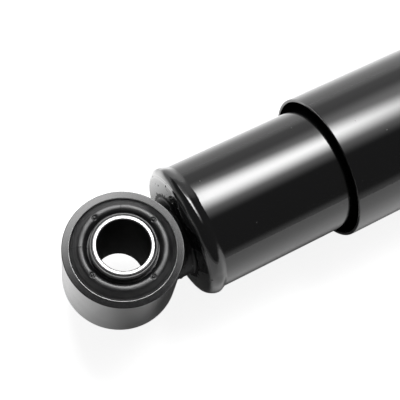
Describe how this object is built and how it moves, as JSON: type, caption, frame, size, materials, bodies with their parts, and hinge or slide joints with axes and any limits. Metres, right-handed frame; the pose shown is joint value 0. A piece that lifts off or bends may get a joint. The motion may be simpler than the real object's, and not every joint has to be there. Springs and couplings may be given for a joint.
{
  "type": "trailer shock absorber",
  "caption": "Twin-tube hydraulic damper for a trailer axle, with a dust cover and a rubber-bushed eye at each end; the rod slides, turns and carries a valved piston.",
  "frame": {"origin": "centre of the lower eye's bore", "axes": "+X along the damper to the upper eye, +Z along the lower eye's bolt axis"},
  "size_m": [0.405, 0.076, 0.076],
  "materials": {
    "gloss_black_paint": "gloss black paint",
    "satin_black_paint": "satin black paint",
    "bush_rubber": "moulded black rubber",
    "zinc_steel": "bright zinc plate, turned faces",
    "chrome_rod": "ground and hard-chromed",
    "bright_steel": "machined steel",
    "spring_steel": "blued spring steel",
    "sintered_iron": "sintered iron, oiled",
    "bearing_bronze": "bronze bearing lining",
    "low_friction_band": "filled fluoropolymer",
    "seal_rubber": "moulded nitrile rubber"
  },
  "bodies": {
    "cylinder": {"lower_eye_ring": "satin_black_paint", "lower_bush_rubber": "bush_rubber", "lower_end_cap": "gloss_black_paint", "lower_eye_weld": "gloss_black_paint", "lower_seam_weld": "gloss_black_paint", "reserve_tube": "gloss_black_paint", "pressure_tube": "bright_steel", "base_valve_body": "sintered_iron", "base_valve_bolt": "bright_steel", "base_valve_nut": "bright_steel", "compression_washer": "bright_steel", "intake_spring": "spring_steel", "rod_guide": "sintered_iron", "guide_bush": "bearing_bronze", "rod_seal": "seal_rubber", "garter_spring": "spring_steel", "seal_washer": "bright_steel", "guide_o_ring": "seal_rubber", "closing_ring": "bright_steel", "wiper_ring": "seal_rubber", "compression_shim_1": "spring_steel", "compression_shim_2": "spring_steel", "compression_shim_3": "spring_steel", "compression_shim_4": "spring_steel"},
    "lower_sleeve": {"lower_inner_sleeve": "zinc_steel"},
    "intake_valve": {"intake_plate": "bright_steel"},
    "piston_ring": {"piston_band": "low_friction_band"},
    "rod_assembly": {"piston_rod": "chrome_rod", "piston": "sintered_iron", "piston_nut": "bright_steel", "rebound_washer": "bright_steel", "check_stop": "bright_steel", "check_spring": "spring_steel", "rebound_bumper": "seal_rubber", "rod_weld": "bright_steel", "upper_end_cap": "gloss_black_paint", "dust_cover": "gloss_black_paint", "upper_seam_weld": "gloss_black_paint", "upper_eye_ring": "satin_black_paint", "upper_bush_rubber": "bush_rubber", "upper_eye_weld": "gloss_black_paint", "rebound_shim_1": "spring_steel", "rebound_shim_2": "spring_steel", "rebound_shim_3": "spring_steel", "rebound_shim_4": "spring_steel"},
    "check_valve": {"check_plate": "bright_steel"},
    "upper_sleeve": {"upper_inner_sleeve": "zinc_steel"}
  },
  "joints": [
    {"name": "rod_slide", "type": "slide", "parent": "cylinder", "child": "piston_ring", "axis": [1, 0, 0], "range_m": [-0.045, 0.105]},
    {"name": "rod_spin", "type": "hinge", "parent": "piston_ring", "child": "rod_assembly", "pos_m": [0.117, 0, 0], "axis": [1, 0, 0], "continuous": true},
    {"name": "lower_sleeve_twist", "type": "hinge", "parent": "cylinder", "child": "lower_sleeve", "pos_m": [0, 0, 0], "axis": [0, 0, 1], "range_deg": [-12, 12], "stiffness_Nm_per_rad": 60},
    {"name": "upper_sleeve_twist", "type": "hinge", "parent": "rod_assembly", "child": "upper_sleeve", "pos_m": [0.35, 0, 0], "axis": [0, 0, 1], "range_deg": [-12, 12], "stiffness_Nm_per_rad": 60},
    {"name": "intake_lift", "type": "slide", "parent": "cylinder", "child": "intake_valve", "axis": [1, 0, 0], "range_m": [0, 0.0012], "stiffness_N_per_m": 400, "springref_m": -0.001, "deforming": ["intake_spring"]},
    {"name": "check_lift", "type": "slide", "parent": "rod_assembly", "child": "check_valve", "axis": [1, 0, 0], "range_m": [0, 0.0012], "stiffness_N_per_m": 400, "springref_m": -0.001, "deforming": ["check_spring"]}
  ]
}
